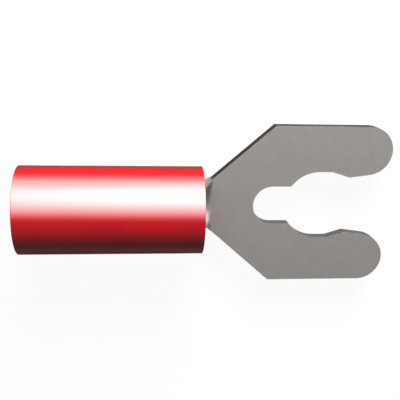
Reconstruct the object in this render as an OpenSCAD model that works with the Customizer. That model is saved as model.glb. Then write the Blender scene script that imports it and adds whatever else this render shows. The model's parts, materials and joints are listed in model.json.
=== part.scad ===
// Insulated fork terminal: a tongue, neck and wire barrel stamped and rolled from one strip,
// with a moulded sleeve pushed over the barrel. The origin is the stud's axis on the tongue's underside.
// +X points to the fork's open end, +Z stands square to the tongue on the side where the barrel is rolled.

/* [Strip] */
// Thickness of the strip that the terminal is stamped from
stock_t = 0.7; // [0.5:0.05:0.9]

/* [Fork tongue] */
// Width over the two arms
tongue_w = 9.3; // [8.6:0.1:11]
// Distance from the stud's axis to the ends of the arms
tip_reach = 4.17; // [3.9:0.01:5]
// Radius of the round end of each arm
tip_r = 1.41; // [1.1:0.01:1.5]
// Diameter of the seat around the stud
stud_d = 4; // [3.6:0.05:4.2]
// Length of the seat's straight sides, forward of the stud's axis
seat_flat = 0.72; // [0.3:0.01:1]
// Distance from the stud's axis to the pair of points that hold the stud in
detent_reach = 1.755; // [1.4:0.005:2]
// Gap between those two points
throat_w = 3.35; // [3:0.05:3.6]
// Width of the slot that lets the two arms spread
slot_w = 2.25; // [1.8:0.05:2.6]
// Distance from the stud's axis back to the round end of the slot
slot_reach = 3.835; // [3.2:0.005:4.4]
// Distance from the stud's axis back to the corners where the shoulders begin
shoulder_back = 2.74; // [2:0.01:3.4]
// Slope of the shoulders to the terminal's length
shoulder_angle = 41.5; // [35:0.5:52]

/* [Neck] */
// Width of the strip at the bend line, where it begins to curl
neck_w = 3.12; // [2.9:0.01:3.3]
// Slope of the neck's sides to the terminal's length, before they curl
neck_angle = 25; // [20:1:30]
// Width of the strip at its narrowest, measured along the curl
waist_w = 2.5; // [2.3:0.05:2.6]
// Radius of the notch between the neck and each wing of the barrel
notch_r = 0.3; // [0.25:0.05:0.4]
// Depth by which rolling thins the strip on each face of the neck
curl_thinning = 0.01; // [0.005:0.005:0.03]

/* [Wire barrel] */
// Diameter of the hole for the bared wire
wire_hole_d = 1.7; // [1.5:0.05:1.9]
// Length of the closed barrel
barrel_len = 5.3; // [4.5:0.1:6]
// Gap at the seam where the two wings meet
seam_gap = 0.06; // [0.02:0.02:0.2]
// Depth of the lead-in around the wire's end of the barrel
barrel_lead = 0.2; // [0.1:0.05:0.3]
// Number of grooves that grip the wire
serrations = 3; // [2:1:4]
// Width of a groove
serration_w = 0.3; // [0.2:0.05:0.4]
// Depth of a groove
serration_depth = 0.08; // [0.04:0.02:0.12]
// Spacing of the grooves
serration_pitch = 1; // [0.7:0.1:1.1]

/* [Sleeve] */
// Outside diameter of the sleeve
sleeve_od = 4.87; // [4.6:0.05:6]
// Length of the sleeve
sleeve_len = 10; // [9:0.1:12]
// Length of neck left bare between the bend line and the sleeve
neck_bare = 0.68; // [0.4:0.02:0.9]
// Radial clearance of the sleeve on the barrel and the neck
sleeve_clearance = 0.02; // [0.01:0.01:0.05]
// Diameter of the hole for the insulated wire
entry_d = 3.7; // [3.3:0.05:4]
// Length of the funnel that guides the strands into the barrel
funnel_len = 1.2; // [0.8:0.1:1.6]
// Length of the ring that the barrel's end stops against
stop_len = 0.3; // [0.2:0.05:0.5]
// Width of the face of that ring
stop_w = 0.5; // [0.35:0.05:0.55]
// Depth of the lead-in around the hole for the insulated wire
entry_lead = 0.15; // [0.1:0.05:0.25]
// Radius of the sleeve's outer edges
sleeve_round = 0.15; // [0.05:0.05:0.25]

/* [Hidden] */
$fn = 96;
// A little more than nothing, for cuts that run past a face
cut_past = 0.5;
// Length of neck sunk in the tongue and in the barrel, so that the three are one piece of metal
weld_len = 0.15;
// Steps along the straight edge of the neck, around its notch, and across the strip
straight_steps = 4;
notch_steps = 9;
strip_steps = 20;
// Places along the neck at which the sleeve's mouth is held clear of it
mouth_steps = 12;

// The tongue's round arm ends, and the straight flank from each holding point to the round end it touches
tip_cx = tip_reach - tip_r;
tip_cy = tongue_w / 2 - tip_r;
flank_run = [tip_cx - detent_reach, tip_cy - throat_w / 2];
flank_angle = atan2(flank_run[1], flank_run[0]) - asin(tip_r / norm(flank_run));
flank_end = [tip_cx + tip_r * sin(flank_angle), tip_cy - tip_r * cos(flank_angle)];
flank_far = flank_end + tip_r * [cos(flank_angle), sin(flank_angle)];
slot_cx = slot_w / 2 - slot_reach;

// The neck, from the bend line to the front edges of the barrel's wings
bend_x = -shoulder_back - (tongue_w - neck_w) / 2 / tan(shoulder_angle);
notch_cy = waist_w / 2 + notch_r;
notch_cx = bend_x - (neck_w / 2 - notch_cy + notch_r / cos(neck_angle)) / tan(neck_angle);
notch_start_x = notch_cx + notch_r * sin(neck_angle);
barrel_front_x = notch_cx - notch_r;

// The barrel, which the tongue's top face meets at the bottom of the wire's hole
barrel_r = wire_hole_d / 2;
barrel_out_r = barrel_r + stock_t;
barrel_mid_r = barrel_r + stock_t / 2;
barrel_axis_z = barrel_out_r;
barrel_rear_x = barrel_front_x - barrel_len;

// The sleeve's two ends, along its axis from the face that the barrel's end stops against
sleeve_front_x = bend_x - neck_bare;
sleeve_front = sleeve_front_x - barrel_rear_x;
sleeve_rear = sleeve_front - sleeve_len;

// The sleeve's bore: the seat on the barrel, the stop ring, and the slope of the mouth that clears the neck
seat_r = barrel_out_r + sleeve_clearance;
throat_r = barrel_out_r - stop_w;
mouth_slope = max([for (i = [1:mouth_steps])
    let (x = barrel_front_x + i / mouth_steps * (sleeve_front_x - barrel_front_x))
    (neck_reach(x) + sleeve_clearance - seat_r) / (x - barrel_front_x)]);

// Half-width of the strip behind the bend line: the neck's sloping side, then the notch's arc
function strip_half(x) = x > notch_start_x
    ? neck_w / 2 - (bend_x - x) * tan(neck_angle)
    : notch_cy - sqrt(max(0, notch_r ^ 2 - (x - notch_cx) ^ 2));

// Curvature of the strip behind the bend line, which grows evenly from flat to the barrel's own
function curl(x) =
    max(0, min(1, (bend_x - x) / (bend_x - barrel_front_x))) / barrel_mid_r;

// Where a point of the flat strip goes when it is curled: along is its distance from the middle line,
// above its height over the strip's middle face
function curled(along, above, k) = k == 0
    ? [along, stock_t / 2 + above]
    : let (turn = along * k * 180 / PI, r = 1 / k - above)
      [r * sin(turn), stock_t / 2 + 1 / k - r * cos(turn)];

// Distance from the barrel's axis to the lower corner of the neck's edge
function neck_reach(x) =
    norm(curled(strip_half(x), -stock_t / 2, curl(x)) - [0, barrel_axis_z]);

// Places something along the barrel's axis, turned to run towards the fork
module on_barrel_axis(x) {
    translate([x, 0, barrel_axis_z])
        rotate([0, 90, 0])
            children();
}

// The outline of the tongue with no opening: shoulders, straight sides and round arm ends
module tongue_blank() {
    half = [
        [bend_x, neck_w / 2],
        [-shoulder_back, tongue_w / 2],
        [tip_cx, tongue_w / 2],
        [tip_cx, tip_cy],
        flank_end
    ];
    other_half = [for (i = [len(half) - 1:-1:0]) [half[i][0], -half[i][1]]];
    polygon(concat(half, other_half));
    for (side = [-1, 1])
        translate([tip_cx, side * tip_cy])
            circle(r = tip_r);
}

// The opening of the fork: a narrow slot, the round seat, and a throat that narrows and opens again
module fork_opening() {
    half = [
        [0, stud_d / 2],
        [seat_flat, stud_d / 2],
        [detent_reach, throat_w / 2],
        flank_far
    ];
    other_half = [for (i = [len(half) - 1:-1:0]) [half[i][0], -half[i][1]]];
    polygon(concat(half, other_half));
    circle(d = stud_d);
    translate([slot_cx, 0])
        circle(d = slot_w);
    translate([slot_cx, -slot_w / 2])
        square([-slot_cx, slot_w]);
}

// The neck: the strip narrows to its waist as it curls up from the flat tongue into the barrel
module curled_neck() {
    straight = [for (i = [0:straight_steps])
        let (x = bend_x - i / straight_steps * (bend_x - notch_start_x))
        [x, strip_half(x)]];
    notch = [for (i = [1:notch_steps])
        let (turn = neck_angle - i / notch_steps * (neck_angle + 90))
        [notch_cx + notch_r * sin(turn), notch_cy - notch_r * cos(turn)]];
    stations = concat(
        [[bend_x + weld_len, neck_w / 2]],
        straight,
        notch,
        [[barrel_front_x - weld_len, notch_cy]]);
    above = stock_t / 2 - curl_thinning;
    ring = 2 * (strip_steps + 1);
    points = [for (s = stations)
        let (half = s[1] - curl_thinning, k = curl(s[0]))
        each concat(
            [for (i = [0:strip_steps])
                let (p = curled(half * (2 * i / strip_steps - 1), -above, k))
                [s[0], p[0], p[1]]],
            [for (i = [strip_steps:-1:0])
                let (p = curled(half * (2 * i / strip_steps - 1), above, k))
                [s[0], p[0], p[1]]])];
    last = (len(stations) - 1) * ring;
    sides = [for (j = [0:len(stations) - 2], i = [0:ring - 1])
        let (a = j * ring + i, b = j * ring + (i + 1) % ring)
        [a, b, b + ring, a + ring]];
    front = [for (i = [0:strip_steps - 1]) [ring - 1 - i, ring - 2 - i, i + 1, i]];
    rear = [for (i = [0:strip_steps - 1]) [i, i + 1, ring - 2 - i, ring - 1 - i] + last * [1, 1, 1, 1]];
    polyhedron(points, concat(sides, front, rear));
}

// The barrel: the two wings rolled round until they meet, grooved inside to grip the wire
module wire_barrel() {
    grip_x = (barrel_front_x + barrel_rear_x) / 2;
    difference() {
        on_barrel_axis(barrel_rear_x)
            cylinder(r = barrel_out_r, h = barrel_len);
        on_barrel_axis(barrel_rear_x - cut_past)
            cylinder(r = barrel_r, h = barrel_len + 2 * cut_past);
        on_barrel_axis(barrel_rear_x)
            cylinder(r1 = barrel_r + barrel_lead, r2 = barrel_r, h = barrel_lead);
        for (i = [0:serrations - 1])
            on_barrel_axis(grip_x + (i - (serrations - 1) / 2) * serration_pitch - serration_w / 2)
                cylinder(r = barrel_r + serration_depth, h = serration_w);
        translate([barrel_rear_x - cut_past, -seam_gap / 2, barrel_axis_z])
            cube([barrel_len + 2 * cut_past, seam_gap, barrel_out_r + cut_past]);
    }
}

module fork_terminal() {
    color("#96938f")
        union() {
            linear_extrude(stock_t)
                difference() {
                    tongue_blank();
                    fork_opening();
                }
            curled_neck();
            wire_barrel();
        }
}

// Half of the sleeve's section without its bore: a bar with its two outer corners rounded
module sleeve_bar() {
    sleeve_r = sleeve_od / 2;
    translate([0, sleeve_rear]) {
        square([sleeve_r - sleeve_round, sleeve_len]);
        translate([0, sleeve_round])
            square([sleeve_r, sleeve_len - 2 * sleeve_round]);
        for (along = [sleeve_round, sleeve_len - sleeve_round])
            translate([sleeve_r - sleeve_round, along])
                circle(r = sleeve_round);
    }
}

// Half of the bore's section: the hole for the insulated wire with its lead-in, the funnel, the stop ring,
// the seat on the barrel, and the mouth that widens to clear the neck
module sleeve_bore() {
    entry_r = entry_d / 2;
    mouth_end = sleeve_front + cut_past;
    polygon([
        [0, sleeve_rear - cut_past],
        [entry_r + entry_lead + cut_past, sleeve_rear - cut_past],
        [entry_r, sleeve_rear + entry_lead],
        [entry_r, -stop_len - funnel_len],
        [throat_r, -stop_len],
        [throat_r, 0],
        [seat_r, 0],
        [seat_r, barrel_len],
        [seat_r + mouth_slope * (mouth_end - barrel_len), mouth_end],
        [0, mouth_end]
    ]);
}

module insulating_sleeve() {
    color("#d8121c")
        on_barrel_axis(barrel_rear_x)
            rotate_extrude()
                difference() {
                    sleeve_bar();
                    sleeve_bore();
                }
}

fork_terminal();
insulating_sleeve();
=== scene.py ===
"""An insulated fork terminal: a tin-plated strip, stamped and rolled, in a moulded red vinyl sleeve."""
import json
import math

import bmesh
import bpy
from mathutils import Matrix, Vector


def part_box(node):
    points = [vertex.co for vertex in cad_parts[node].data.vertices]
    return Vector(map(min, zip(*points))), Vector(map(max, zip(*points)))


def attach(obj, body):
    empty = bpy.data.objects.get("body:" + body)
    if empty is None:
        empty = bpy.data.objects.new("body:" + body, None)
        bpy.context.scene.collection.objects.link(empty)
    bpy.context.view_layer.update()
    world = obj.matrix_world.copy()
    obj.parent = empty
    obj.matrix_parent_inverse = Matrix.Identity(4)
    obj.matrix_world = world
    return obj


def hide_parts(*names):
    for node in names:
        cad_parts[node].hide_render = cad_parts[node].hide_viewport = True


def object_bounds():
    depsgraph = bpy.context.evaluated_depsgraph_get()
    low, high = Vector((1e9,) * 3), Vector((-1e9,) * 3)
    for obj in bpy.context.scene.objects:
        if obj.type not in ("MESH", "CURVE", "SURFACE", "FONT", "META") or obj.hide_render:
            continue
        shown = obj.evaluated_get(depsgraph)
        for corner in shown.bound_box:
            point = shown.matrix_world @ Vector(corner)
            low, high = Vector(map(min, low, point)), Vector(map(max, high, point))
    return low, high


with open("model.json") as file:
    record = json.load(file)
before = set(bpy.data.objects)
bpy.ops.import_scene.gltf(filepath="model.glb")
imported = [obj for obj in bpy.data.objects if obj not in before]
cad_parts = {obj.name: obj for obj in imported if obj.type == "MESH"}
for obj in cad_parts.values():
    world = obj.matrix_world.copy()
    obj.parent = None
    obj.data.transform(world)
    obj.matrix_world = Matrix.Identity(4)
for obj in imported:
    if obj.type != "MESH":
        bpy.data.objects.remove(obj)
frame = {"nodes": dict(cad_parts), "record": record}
cad_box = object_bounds()


# Fork terminal
# One strip of copper, stamped to a flat blank with a press tool, rolled into a barrel at its wire end and
# tin-plated all over. The punch leaves a rounded upper edge, a bright sheared band and a torn band below.
MM = 0.001
mount_sizes = {mount["name"]: mount["dims"] for mount in frame["record"]["mounts"]}
strip_low, strip_high = (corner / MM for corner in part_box("fork_terminal"))
strip_t = mount_sizes["stud_seat"]["length_mm"]
tip_reach = strip_high.x
tongue_half = strip_high.y
tip_r = 1.41
seat_r = mount_sizes["stud_seat"]["r_mm"]
seat_flat = 0.72
detent = Vector((1.755, 1.675))
slot_half = 1.125
slot_reach = 3.835
shoulder_back = 2.74
shoulder_angle = 41.5
neck_half = 1.56
neck_angle = 25
waist_half = 1.25
notch_r = 0.3
wire_hole_r = mount_sizes["wire_barrel"]["r_mm"]
seam_gap = 0.06
groove_count = 3
groove_pitch = 1.0
groove_w = 0.3
groove_depth = 0.08
groove_wall = 0.02
wire_lead = 0.2
slot_steps = 20
seat_steps = 24
tip_steps = 48
notch_steps = 22
edge_roll = 0.008
edge_roll_steps = 3
burr_r = 0.01
burr_steps = 2
torn_lean = 0.004
sheared_share = 0.38
neck_step = 0.05
wrap_step = 0.08
cut_merge = 1e-5
least_turn = 1e-4
crease_angle = math.radians(25)
tin_grey = (0.362, 0.347, 0.334, 1)
tin_dull = (0.339, 0.324, 0.312, 1)
# Painted highlight: the rolled neck's tin is far lighter than the flat tongue's, where the curled trough
# would catch the soft box.
neck_highlight_grey = (0.86, 0.83, 0.8, 1)
# Painted shade, in part: the cut edges are darker than the tin, as bare cut metal is, and darker still for
# the shade on the walls.
sheared_grey_and_shade = (0.27, 0.258, 0.249, 1)
torn_grey_and_shade = (0.21, 0.2, 0.193, 1)
# Painted highlight: the cut edges on the rolled neck are lighter, where they would catch the soft box.
neck_edge_highlight_grey = (0.5, 0.48, 0.465, 1)
tin_rough = 0.7
cut_rough = 0.4
rolled_rough = 0.33
rolled_cut_rough = 0.62
rolled_ramp_start = 0.0
rolled_ramp_full = 0.1
line_grain = (0.8, 26, 6)
mottle_grain = (2.4, 2.4, 2.4)
crystal_grain = (17, 17, 17)
satin_mottle = 0.6
satin_lines = 0.4
satin_low = 0.3
satin_high = 0.7
line_rough = 0.12
crystal_rough = 0.06
tin_relief = 0.0012
relief_lines = 0.7
relief_crystals = 0.3
streak_grain = (22, 22, 1.5)
torn_grain = (30, 30, 30)
break_wander = 0.12
break_soft = 0.03
band_share = 0.8
grain_share = 0.2
torn_rough = 0.05
grain_rough = 0.1
cut_relief = 0.004
relief_streaks = 0.5
relief_grains = 0.5

tip = Vector((tip_reach - tip_r, tongue_half - tip_r))
slot_x = slot_half - slot_reach
bend_x = -shoulder_back - (tongue_half - neck_half) / math.tan(math.radians(shoulder_angle))
notch_y = waist_half + notch_r
notch_rise = neck_half - notch_y + notch_r / math.cos(math.radians(neck_angle))
notch_x = bend_x - notch_rise / math.tan(math.radians(neck_angle))
barrel_front_x = notch_x - notch_r
barrel_rear_x = strip_low.x
barrel_mid_r = wire_hole_r + strip_t / 2
barrel_out_r = wire_hole_r + strip_t
wing_half = math.pi * barrel_mid_r - seam_gap / 2


def arc(centre, radius, start, end, steps):
    """Points round a centre from one angle to another, in degrees, both ends among them."""
    turns = [math.radians(start + (end - start) * i / steps) for i in range(steps + 1)]
    return [Vector((centre[0] + radius * math.cos(a), centre[1] + radius * math.sin(a))) for a in turns]


def blank_outline():
    """The flat blank before it is rolled, anticlockwise: opening, arms, shoulders, notches and wings."""
    run = tip - detent
    flank_angle = math.degrees(math.atan2(run.y, run.x) - math.asin(tip_r / run.length))
    seat_start = 180 - math.degrees(math.asin(slot_half / seat_r))
    half = [
        *arc((slot_x, 0), slot_half, 180, 90, slot_steps),
        *arc((0, 0), seat_r, seat_start, 90, seat_steps),
        Vector((seat_flat, seat_r)),
        detent,
        *arc(tip, tip_r, flank_angle - 90, 90, tip_steps),
        Vector((-shoulder_back, tongue_half)),
        Vector((bend_x, neck_half)),
        *arc((notch_x, notch_y), notch_r, neck_angle - 90, -180, notch_steps),
        Vector((barrel_front_x, wing_half)),
        Vector((barrel_rear_x, wing_half)),
    ]
    other_half = [Vector((p.x, -p.y)) for p in reversed(half[1:])]
    return half + other_half


def inset(outline, depth):
    """The outline moved into the metal by that depth, with its corners kept."""
    moved = []
    for i, here in enumerate(outline):
        before = (here - outline[i - 1]).normalized()
        after = (outline[(i + 1) % len(outline)] - here).normalized()
        into_metal = Vector((-before.y - after.y, before.x + after.x))
        moved.append(here + into_metal * depth / (1 + before.dot(after)))
    return moved


def edge_section():
    """The stamped edge from the top down, as pairs of inset and height, and which bands are cut metal."""
    section = []
    for i in range(edge_roll_steps + 1):
        a = math.radians(90 * i / edge_roll_steps)
        section.append((edge_roll * (1 - math.sin(a)), strip_t - edge_roll * (1 - math.cos(a))))
    section.append((0, strip_t * (1 - sheared_share)))
    for i in range(burr_steps + 1):
        a = math.radians(90 * i / burr_steps)
        section.append((torn_lean + burr_r * (1 - math.cos(a)), burr_r * (1 - math.sin(a))))
    cut_bands = range(edge_roll_steps, edge_roll_steps + 2)
    return section, cut_bands


def cut_across(blank, stations, normal, behind):
    """Cuts the blank, behind a line, square to the normal at each station, so that it can bend there."""
    for station in stations:
        faces = [f for f in blank.faces if f.calc_center_bounds().x < behind]
        near = set(faces)
        near.update(e for f in faces for e in f.edges)
        near.update(v for f in faces for v in f.verts)
        bmesh.ops.bisect_plane(blank, geom=list(near), dist=cut_merge,
                               plane_co=normal * station, plane_no=normal)


def stamped_blank():
    """The flat blank as a closed solid in millimetres, with its grooves coined into the upper face."""
    blank = bmesh.new()
    cut_metal = blank.faces.layers.int.new("cut_metal")
    outline = blank_outline()
    section, cut_bands = edge_section()
    rings = [[blank.verts.new((p.x, p.y, height)) for p in inset(outline, depth)]
             for depth, height in section]
    for band, (upper, lower) in enumerate(zip(rings, rings[1:])):
        for i in range(len(outline)):
            j = (i + 1) % len(outline)
            face = blank.faces.new((upper[i], lower[i], lower[j], upper[j]))
            face[cut_metal] = band in cut_bands
    blank.faces.new(rings[0])
    blank.faces.new(reversed(rings[-1]))
    groove_mid_x = (barrel_front_x + barrel_rear_x) / 2
    groove_xs = [groove_mid_x + (i - (groove_count - 1) / 2) * groove_pitch for i in range(groove_count)]
    groove_halves = (groove_w / 2, groove_w / 2 + groove_wall)
    groove_edges = [x + side * half for x in groove_xs for side in (-1, 1) for half in groove_halves]
    neck_cuts = round((bend_x - barrel_front_x) / neck_step)
    neck_stations = [bend_x + (barrel_front_x - bend_x) * i / neck_cuts for i in range(neck_cuts + 1)]
    wrap_cuts = round(wing_half / wrap_step)
    wrap_stations = [wing_half * i / wrap_cuts for i in range(1 - wrap_cuts, wrap_cuts)]
    barrel_stations = [*groove_edges, barrel_rear_x + wire_lead]
    cut_across(blank, neck_stations[:1], Vector((1, 0, 0)), math.inf)
    cut_across(blank, neck_stations[1:] + barrel_stations, Vector((1, 0, 0)), bend_x)
    cut_across(blank, wrap_stations, Vector((0, 1, 0)), bend_x)
    for v in blank.verts:
        in_groove = any(abs(v.co.x - x) < groove_w / 2 + groove_wall / 2 for x in groove_xs)
        lead_left = max(0, wire_lead - (v.co.x - barrel_rear_x))
        v.co.z = min(v.co.z, strip_t - groove_depth * in_groove - lead_left)
    mesh = bpy.data.meshes.new("stamped_blank")
    blank.to_mesh(mesh)
    blank.free()
    mesh.shade_smooth()
    return mesh


class Wire:
    """One output of a node. Arithmetic on wires adds Math nodes to the tree that they run in."""

    def __init__(self, tree, socket):
        self.tree = tree
        self.socket = socket

    @classmethod
    def of(cls, tree, kind, settings=None, sockets=None, output=0):
        """Adds a node: its settings, then the values or links of its sockets. Gives one of its outputs."""
        node = tree.nodes.new(kind)
        for name, value in (settings or {}).items():
            setattr(node, name, value)
        for name, value in (sockets or {}).items():
            if isinstance(value, Wire):
                tree.links.new(value.socket, node.inputs[name])
            else:
                node.inputs[name].default_value = value
        return cls(tree, node.outputs[output]) if node.outputs else None

    def also(self, output):
        """Another output of the same node."""
        return Wire(self.tree, self.socket.node.outputs[output])

    def math(self, operation, *operands):
        return Wire.of(self.tree, "ShaderNodeMath", {"operation": operation}, dict(enumerate(operands)))

    def __add__(self, other):
        return self.math("ADD", self, other)

    def __sub__(self, other):
        return self.math("SUBTRACT", self, other)

    def __rsub__(self, other):
        return self.math("SUBTRACT", other, self)

    def __mul__(self, other):
        return self.math("MULTIPLY", self, other)

    def __truediv__(self, other):
        return self.math("DIVIDE", self, other)

    def __abs__(self):
        return self.math("ABSOLUTE", self)

    __radd__ = __add__
    __rmul__ = __mul__

    def ramp(self, low, high):
        """0 below low, 1 above high, and a smooth step between."""
        return Wire.of(self.tree, "ShaderNodeMapRange", {"interpolation_type": "SMOOTHSTEP"},
                       {"Value": self, "From Min": low, "From Max": high})


def node_tree(name, inputs):
    """A new Geometry Nodes tree with those named inputs, and a dictionary of their wires."""
    tree = bpy.data.node_groups.new(name, "GeometryNodeTree")
    tree.interface.new_socket("Geometry", in_out="OUTPUT", socket_type="NodeSocketGeometry")
    for label, kind in {"Geometry": "NodeSocketGeometry", **inputs}.items():
        tree.interface.new_socket(label, in_out="INPUT", socket_type=kind)
    source = tree.nodes.new("NodeGroupInput")
    return tree, {label: Wire(tree, source.outputs[label]) for label in ("Geometry", *inputs)}


def rolling_tree():
    """Curls the flat blank: its curvature grows evenly from the bend line to the barrel, then stays."""
    tree, given = node_tree("roll_the_strip", {
        "Strip thickness": "NodeSocketFloat",
        "Bend line": "NodeSocketFloat",
        "Barrel front": "NodeSocketFloat",
        "Barrel middle radius": "NodeSocketFloat",
        "Tin": "NodeSocketMaterial",
        "Cut metal": "NodeSocketMaterial",
    })
    place = Wire.of(tree, "GeometryNodeInputPosition")
    x = Wire.of(tree, "ShaderNodeSeparateXYZ", {}, {"Vector": place})
    along, height = x.also("Y"), x.also("Z")
    above = height - given["Strip thickness"] / 2
    share = (given["Bend line"] - x) / (given["Bend line"] - given["Barrel front"])
    held = share.math("MINIMUM", share.math("MAXIMUM", share, 0), 1)
    turn = along * held / given["Barrel middle radius"]

    def chord(angle):
        """The sine of an angle over the angle itself, which is 1 where the strip is flat."""
        size = angle.math("MAXIMUM", abs(angle), least_turn)
        return size.math("SINE", size) / size

    sine = turn.math("SINE", turn)
    cosine = turn.math("COSINE", turn)
    half = turn / 2
    across = along * chord(turn) - above * sine
    up = above * cosine + along * half.math("SINE", half) * chord(half) + given["Strip thickness"] / 2
    marked = Wire.of(
        tree, "GeometryNodeStoreNamedAttribute", {"data_type": "FLOAT_VECTOR", "domain": "POINT"},
        {"Geometry": given["Geometry"], "Name": "strip_place", "Value": place})
    rolled = Wire.of(tree, "GeometryNodeSetPosition", {}, {
        "Geometry": marked,
        "Position": Wire.of(tree, "ShaderNodeCombineXYZ", {}, {"X": x, "Y": across, "Z": up})})
    whole = Wire.of(tree, "GeometryNodeRealizeInstances", {}, {"Geometry": rolled})
    tinned = Wire.of(tree, "GeometryNodeSetMaterial", {}, {"Geometry": whole, "Material": given["Tin"]})
    cut = Wire.of(tree, "GeometryNodeInputNamedAttribute", {"data_type": "BOOLEAN"}, {"Name": "cut_metal"})
    edged = Wire.of(tree, "GeometryNodeSetMaterial", {},
                    {"Geometry": tinned, "Selection": cut, "Material": given["Cut metal"]})
    Wire.of(tree, "NodeGroupOutput", {}, {"Geometry": edged})
    return tree


def give_nodes(piece, tree, values):
    """Puts the tree on the piece, with its inputs set by their own identifiers."""
    modifier = piece.modifiers.new(tree.name, "NODES")
    modifier.node_group = tree
    for item in tree.interface.items_tree:
        if item.in_out == "INPUT" and item.name in values:
            modifier[item.identifier] = values[item.name]


def made_plain(piece):
    """The piece with its modifiers worked out and taken off."""
    worked_out = piece.evaluated_get(bpy.context.evaluated_depsgraph_get())
    mesh = bpy.data.meshes.new_from_object(worked_out)
    piece.modifiers.clear()
    piece.data = mesh


def finished(piece):
    """Works out the piece, keeps its flats flat and its creases sharp, and brings it to metres."""
    made_plain(piece)
    piece.data.set_sharp_from_angle(angle=crease_angle)
    normals = piece.modifiers.new("even_normals", "WEIGHTED_NORMAL")
    normals.keep_sharp = True
    made_plain(piece)
    piece.data.transform(Matrix.Scale(MM, 4))


def new_material(name):
    """An empty material, and its tree."""
    material = bpy.data.materials.new(name)
    material.use_nodes = True
    material.node_tree.nodes.clear()
    return material, material.node_tree


def noise(tree, place, scale, detail=3, roughness=0.5):
    """Noise over a place, from 0 to 1, with its own scale along each axis."""
    spread = Wire.of(tree, "ShaderNodeMapping", {}, {"Vector": place, "Scale": scale})
    return Wire.of(tree, "ShaderNodeTexNoise", {}, {
        "Vector": spread, "Scale": 1, "Detail": detail, "Roughness": roughness})


def swing(wave, amount):
    """Noise as a swing to both sides of nothing, as wide as the amount."""
    return (wave - 0.5) * amount


def mixed(tree, share, first, second):
    """Two colours mixed by a share."""
    return Wire.of(tree, "ShaderNodeMix", {"data_type": "RGBA"}, {0: share, 6: first, 7: second}, output=2)


def surfaced(tree, shader_sockets):
    """Ends a material in one Principled shader."""
    shader = Wire.of(tree, "ShaderNodeBsdfPrincipled", {}, shader_sockets)
    Wire.of(tree, "ShaderNodeOutputMaterial", {}, {"Surface": shader})


def rolled_share(tree, place):
    """How far back into the rolled neck: 0 on the flat tongue, 1 from the curled neck back. It lowers the
    roughness there as the dies' burnish does, and it lays on the painted highlight of the neck.
    """
    x = Wire.of(tree, "ShaderNodeSeparateXYZ", {}, {"Vector": place}).also("X")
    return (bend_x - x).ramp(rolled_ramp_start, rolled_ramp_full)


def tin_plate():
    """Satin tin over rolled strip: fine lines along it, a faint crystal mottle and soft wipe marks, with a
    painted highlight on the rolled neck, where its colour is far lighter.
    """
    material, tree = new_material("tin_plate")
    place = Wire.of(tree, "ShaderNodeAttribute", {"attribute_name": "strip_place"}, {}, output="Vector")
    lines = noise(tree, place, line_grain, detail=4, roughness=0.6)
    mottle = noise(tree, place, mottle_grain, detail=2)
    crystals = noise(tree, place, crystal_grain, detail=2)
    rolled = rolled_share(tree, place)
    wiped = (mottle * satin_mottle + lines * satin_lines).ramp(satin_low, satin_high)
    satin = mixed(tree, wiped, tin_dull, tin_grey)
    roughness = tin_rough + rolled * (rolled_rough - tin_rough)
    # The rolled neck turns to the far lighter grey: a painted highlight.
    surfaced(tree, {
        "Base Color": mixed(tree, rolled * rolled, satin, neck_highlight_grey),
        "Metallic": 1,
        "Roughness": roughness + swing(lines, line_rough) + swing(crystals, crystal_rough),
        "Normal": Wire.of(tree, "ShaderNodeBump", {}, {
            "Strength": 1,
            "Distance": tin_relief * MM,
            "Height": lines * relief_lines + crystals * relief_crystals,
        }),
    })
    return material


def cut_metal():
    """The stamped edge: a burnished band under the rolled edge, then torn metal streaked down the cut. Its
    greys are darker than the tin, partly as bare cut metal and partly as painted shade, and on the rolled
    neck they turn light as a painted highlight.
    """
    material, tree = new_material("cut_metal")
    place = Wire.of(tree, "ShaderNodeAttribute", {"attribute_name": "strip_place"}, {}, output="Vector")
    height = Wire.of(tree, "ShaderNodeSeparateXYZ", {}, {"Vector": place}).also("Z")
    streaks = noise(tree, place, streak_grain, detail=3)
    grains = noise(tree, place, torn_grain, detail=3)
    break_height = strip_t * (1 - sheared_share)
    wandering = height + swing(streaks, break_wander)
    burnished = wandering.ramp(break_height - break_soft, break_height + break_soft)
    torn = 1 - burnished
    rolled = rolled_share(tree, place)
    # The torn and sheared greys are darker than the tin, partly as painted shade.
    stamped = mixed(tree, burnished * band_share + grains * grain_share, torn_grey_and_shade, sheared_grey_and_shade)
    roughness = cut_rough + rolled * (rolled_cut_rough - cut_rough)
    # On the rolled neck the cut edges turn to a lighter grey: a painted highlight.
    surfaced(tree, {
        "Base Color": mixed(tree, rolled, stamped, neck_edge_highlight_grey),
        "Metallic": 1,
        "Roughness": roughness + torn * torn_rough + swing(grains, grain_rough),
        "Normal": Wire.of(tree, "ShaderNodeBump", {}, {
            "Strength": 1,
            "Distance": cut_relief * MM,
            "Height": streaks * relief_streaks + grains * torn * relief_grains,
        }),
    })
    return material


fork = bpy.data.objects.new("rolled_fork", stamped_blank())
bpy.context.scene.collection.objects.link(fork)
give_nodes(fork, rolling_tree(), {
    "Strip thickness": strip_t,
    "Bend line": bend_x,
    "Barrel front": barrel_front_x,
    "Barrel middle radius": barrel_mid_r,
    "Tin": tin_plate(),
    "Cut metal": cut_metal(),
})
finished(fork)
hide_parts("fork_terminal")
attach(fork, "root")


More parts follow.
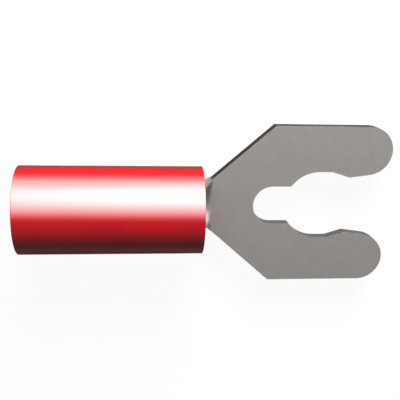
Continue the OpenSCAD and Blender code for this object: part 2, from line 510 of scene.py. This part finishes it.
# Insulating sleeve
# A tube of soft red vinyl, moulded in one piece and pushed over the barrel up to the ring inside it.
# The wire's end is wide for the insulation, with a funnel that leads the strands into the barrel.
sleeve_low, sleeve_high = (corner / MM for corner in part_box("insulating_sleeve"))
sleeve_r = (sleeve_high.z - sleeve_low.z) / 2
sleeve_rear_x = sleeve_low.x
sleeve_front_x = sleeve_high.x
entry_r = mount_sizes["insulation_entry"]["r_mm"]
entry_lead = 0.15
funnel_len = 1.2
stop_len = 0.3
stop_w = 0.5
sleeve_clearance = 0.02
sleeve_round = 0.03
sleeve_round_steps = 6
sleeve_steps = 192
vinyl_red = (0.68, 0.008, 0.014, 1)
vinyl_deep = (0.56, 0.005, 0.01, 1)
vinyl_rough = 0.2
vinyl_ior = 1.6
coat_rough = 0.14
coat_ior = 2.2
cloud_grain = (0.5, 0.9, 0.9)
flow_grain = (0.25, 5, 5)
skin_grain = (9, 9, 9)
pigment_cloud = 0.7
pigment_flow = 0.3
pigment_low = 0.25
pigment_high = 0.75
skin_rough = 0.08
flow_rough = 0.06
vinyl_relief = 0.0015
relief_skin = 0.6
relief_flow = 0.4

front_rim = [v.co / MM for v in frame["nodes"]["insulating_sleeve"].data.vertices
             if v.co.x / MM > sleeve_front_x - sleeve_clearance]
mouth_r = min(math.hypot(p.y, p.z - barrel_out_r) for p in front_rim)


def sleeve_section():
    """Half of the sleeve's section, along the axis and out from it, round the outside and back inside."""
    outer_r = sleeve_r - sleeve_round
    hug_r = barrel_out_r + sleeve_clearance
    throat_r = barrel_out_r - stop_w
    funnel_front_x = barrel_rear_x - stop_len
    return [
        *arc((sleeve_rear_x + sleeve_round, outer_r), sleeve_round, 180, 90, sleeve_round_steps),
        *arc((sleeve_front_x - sleeve_round, outer_r), sleeve_round, 90, 0, sleeve_round_steps),
        Vector((sleeve_front_x, mouth_r)),
        Vector((barrel_front_x, hug_r)),
        Vector((barrel_rear_x, hug_r)),
        Vector((barrel_rear_x, throat_r)),
        Vector((funnel_front_x, throat_r)),
        Vector((funnel_front_x - funnel_len, entry_r)),
        Vector((sleeve_rear_x + entry_lead, entry_r)),
        Vector((sleeve_rear_x, entry_r + entry_lead)),
    ]


def turning_tree():
    """Turns a section, drawn out from a circle of the guide radius, round the terminal's axis."""
    tree, given = node_tree("turn_the_section", {
        "Guide radius": "NodeSocketFloat",
        "Steps": "NodeSocketInt",
        "Axis height": "NodeSocketFloat",
        "Vinyl": "NodeSocketMaterial",
    })
    section = Wire.of(tree, "GeometryNodeMeshToCurve", {}, {"Mesh": given["Geometry"]})
    guide = Wire.of(tree, "GeometryNodeCurvePrimitiveCircle", {},
                    {"Resolution": given["Steps"], "Radius": given["Guide radius"]})
    turned = Wire.of(tree, "GeometryNodeCurveToMesh", {}, {"Curve": guide, "Profile Curve": section})
    outward = Wire.of(tree, "GeometryNodeFlipFaces", {}, {"Mesh": turned})
    smooth = Wire.of(tree, "GeometryNodeSetShadeSmooth", {}, {0: outward, "Shade Smooth": True})
    lift = Wire.of(tree, "ShaderNodeCombineXYZ", {}, {"Z": given["Axis height"]})
    placed = Wire.of(tree, "GeometryNodeTransform", {},
                     {"Geometry": smooth, "Translation": lift, "Rotation": (0, math.radians(90), 0)})
    whole = Wire.of(tree, "GeometryNodeRealizeInstances", {}, {"Geometry": placed})
    vinyl = Wire.of(tree, "GeometryNodeSetMaterial", {}, {"Geometry": whole, "Material": given["Vinyl"]})
    Wire.of(tree, "NodeGroupOutput", {}, {"Geometry": vinyl})
    return tree


def red_vinyl():
    """Glossy soft vinyl: a faint cloud in the pigment, flow lines along it and a fine moulded skin."""
    material, tree = new_material("red_vinyl")
    place = Wire.of(tree, "ShaderNodeMapping", {}, {
        "Vector": Wire.of(tree, "ShaderNodeTexCoord", {}, {}, output="Object"), "Scale": (1 / MM,) * 3})
    cloud = noise(tree, place, cloud_grain, detail=3)
    flow = noise(tree, place, flow_grain, detail=3)
    skin = noise(tree, place, skin_grain, detail=2)
    pigment = (cloud * pigment_cloud + flow * pigment_flow).ramp(pigment_low, pigment_high)
    surfaced(tree, {
        "Base Color": mixed(tree, pigment, vinyl_deep, vinyl_red),
        "Roughness": vinyl_rough + swing(skin, skin_rough) + swing(flow, flow_rough),
        "IOR": vinyl_ior,
        "Coat Weight": 1,
        "Coat Roughness": coat_rough,
        "Coat IOR": coat_ior,
        "Normal": Wire.of(tree, "ShaderNodeBump", {}, {
            "Strength": 1,
            "Distance": vinyl_relief * MM,
            "Height": skin * relief_skin + flow * relief_flow,
        }),
    })
    return material


def section_mesh(points, guide_r):
    """A closed line of the section, as the turning tree reads it: out from the guide circle, then along."""
    count = len(points)
    places = [(p.y - guide_r, -p.x, 0) for p in points]
    mesh = bpy.data.meshes.new("sleeve_section")
    mesh.from_pydata(places, [(i, (i + 1) % count) for i in range(count)], [])
    return mesh


sleeve = bpy.data.objects.new("moulded_sleeve", section_mesh(sleeve_section(), sleeve_r))
bpy.context.scene.collection.objects.link(sleeve)
give_nodes(sleeve, turning_tree(), {
    "Guide radius": sleeve_r,
    "Steps": sleeve_steps,
    "Axis height": barrel_out_r,
    "Vinyl": red_vinyl(),
})
finished(sleeve)
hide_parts("insulating_sleeve")
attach(sleeve, "root")


# Studio light
# A soft box on the +Y side lights the terminal, and a low strip light behind reaches the sleeve's rear end.
# In the gloss of the metal and the vinyl the soft box shows as a wide bright patch of sky with a soft
# border, and the rest of the sky there is dim. To the eye the sky is white.
lamp_lean = 61
lamp_turn = 7
lamp_distance = 0.16
lamp_size = 0.06
lamp_radiance = 48
strip_w = 0.06
strip_h = 0.012
strip_lean = 0
strip_turn = -88
patch_lean = 52.5
patch_turn = 9
patch_core = 2
patch_edge = 66.5
patch_gloss = 8.1
sky_gloss = 0.065
sky_white = 1.0
sky_fill = 0.012


def towards(lean, turn):
    """The direction that leans from upright to +Y and then turns to +X, in degrees."""
    lean, turn = math.radians(lean), math.radians(turn)
    return Vector((math.sin(turn), math.sin(lean) * math.cos(turn), math.cos(lean) * math.cos(turn)))


def add_lamp(name, direction, width, height):
    """A soft lamp that faces the terminal from a direction. It doesn't show to the eye or in the gloss."""
    light = bpy.data.lights.new(name, "AREA")
    light.shape = "RECTANGLE"
    light.size = width
    light.size_y = height
    light.energy = lamp_radiance * math.pi * width * height
    lamp = bpy.data.objects.new(name, light)
    lamp.location = Vector((sleeve_front_x, 0, barrel_out_r)) * MM + direction * lamp_distance
    lamp.rotation_euler = direction.to_track_quat("Z", "Y").to_euler()
    lamp.visible_camera = False
    lamp.visible_glossy = False
    bpy.context.scene.collection.objects.link(lamp)


add_lamp("soft_box", towards(lamp_lean, lamp_turn), lamp_size, lamp_size)
add_lamp("strip_light", towards(strip_lean, strip_turn), strip_w, strip_h)


def seen_by(tree, to_eye, to_gloss, to_rest):
    """A brightness for each kind of ray: those that the eye sees, those from a gloss, and the rest."""
    rays = Wire.of(tree, "ShaderNodeLightPath")
    eye = rays.also("Is Camera Ray") + rays.also("Is Transmission Ray")
    gloss = rays.also("Is Glossy Ray")
    return eye * (to_eye - to_rest) + gloss * (to_gloss - to_rest) + to_rest


sky = bpy.data.worlds.new("studio")
sky.use_nodes = True
sky.cycles.sampling_method = "NONE"
sky_tree = sky.node_tree
sky_tree.nodes.clear()
outlook = Wire.of(sky_tree, "ShaderNodeTexCoord", {}, {}, output="Generated")
nearness = Wire.of(sky_tree, "ShaderNodeVectorMath", {"operation": "DOT_PRODUCT"},
                   {0: outlook, 1: towards(patch_lean, patch_turn)}, output="Value")
away = nearness.math("ARCCOSINE", nearness)
patch = (1 - away.ramp(math.radians(patch_core), math.radians(patch_edge))) * patch_gloss
glow = Wire.of(sky_tree, "ShaderNodeBackground", {}, {
    "Strength": seen_by(sky_tree, sky_white, patch + sky_gloss, sky_fill)})
Wire.of(sky_tree, "ShaderNodeOutputWorld", {}, {"Surface": glow})
bpy.context.scene.world = sky


# Floor
# A plain pale sweep that the terminal lies on, white to the eye. In the gloss it is dim, with a bright pool
# far out on the +Y side and another under the fork's opening. It gives light back on the -Y side only, as a
# white card would, so that this side of the terminal can be read.
floor_half = 2.0
floor_grey = 0.05
floor_glow = 0.955
card_bounce = 0.6
card_near = 0.002
card_far = -0.01
floor_gloss = 0.025
pool_gloss = 3.0
pool_start = 0.0066
opening_gloss = 0.52
opening_core = 0.0035
opening_edge = 0.0064


def pale_sweep():
    """The floor's material: a matt grey that takes the shadow, and a glow for each kind of ray."""
    material, tree = new_material("pale_sweep")
    matt = Wire.of(tree, "ShaderNodeBsdfDiffuse", {}, {"Color": (floor_grey, floor_grey, floor_grey, 1)})
    place = Wire.of(tree, "ShaderNodeTexCoord", {}, {}, output="Object")
    across = Wire.of(tree, "ShaderNodeSeparateXYZ", {}, {"Vector": place}).also("Y")
    outer = across.math("MAXIMUM", across, pool_start)
    reach = (outer - pool_start) / outer
    pool = reach * reach
    card = (1 - across.ramp(card_far, card_near)) * card_bounce
    from_stud = Wire.of(tree, "ShaderNodeVectorMath", {"operation": "LENGTH"}, {0: place}, output="Value")
    opening = 1 - from_stud.ramp(opening_core, opening_edge)
    in_gloss = pool * pool_gloss + opening * opening_gloss + floor_gloss
    glow = Wire.of(tree, "ShaderNodeEmission", {}, {"Strength": seen_by(tree, floor_glow, in_gloss, card)})
    both = Wire.of(tree, "ShaderNodeAddShader", {}, {0: matt, 1: glow})
    Wire.of(tree, "ShaderNodeOutputMaterial", {}, {"Surface": both})
    return material


floor_z = cad_box[0].z
floor_mesh = bpy.data.meshes.new("floor")
corners = [(-1, -1), (1, -1), (1, 1), (-1, 1)]
floor_mesh.from_pydata([(x * floor_half, y * floor_half, floor_z) for x, y in corners], [], [range(4)])
floor_mesh.materials.append(pale_sweep())
floor = bpy.data.objects.new("floor", floor_mesh)
bpy.context.scene.collection.objects.link(floor)


# Camera
# It looks down on the terminal from over the sleeve, leaning a little to the +Y side.
# Its place is in millimetres, its turn in degrees.
camera_place = Vector((-10.356, 10.247, 34.499))
camera_turn = (-16.439, -5.320, 1.600)
camera_sensor = 36
camera_lens = 55.636
camera_near = 0.001

eye = bpy.data.objects.new("camera", bpy.data.cameras.new("camera"))
eye.location = camera_place * MM
eye.rotation_euler = [math.radians(a) for a in camera_turn]
eye.data.sensor_width = camera_sensor
eye.data.lens = camera_lens
eye.data.clip_start = camera_near
bpy.context.scene.collection.objects.link(eye)
bpy.context.scene.camera = eye
bpy.context.scene.view_settings.view_transform = "Standard"
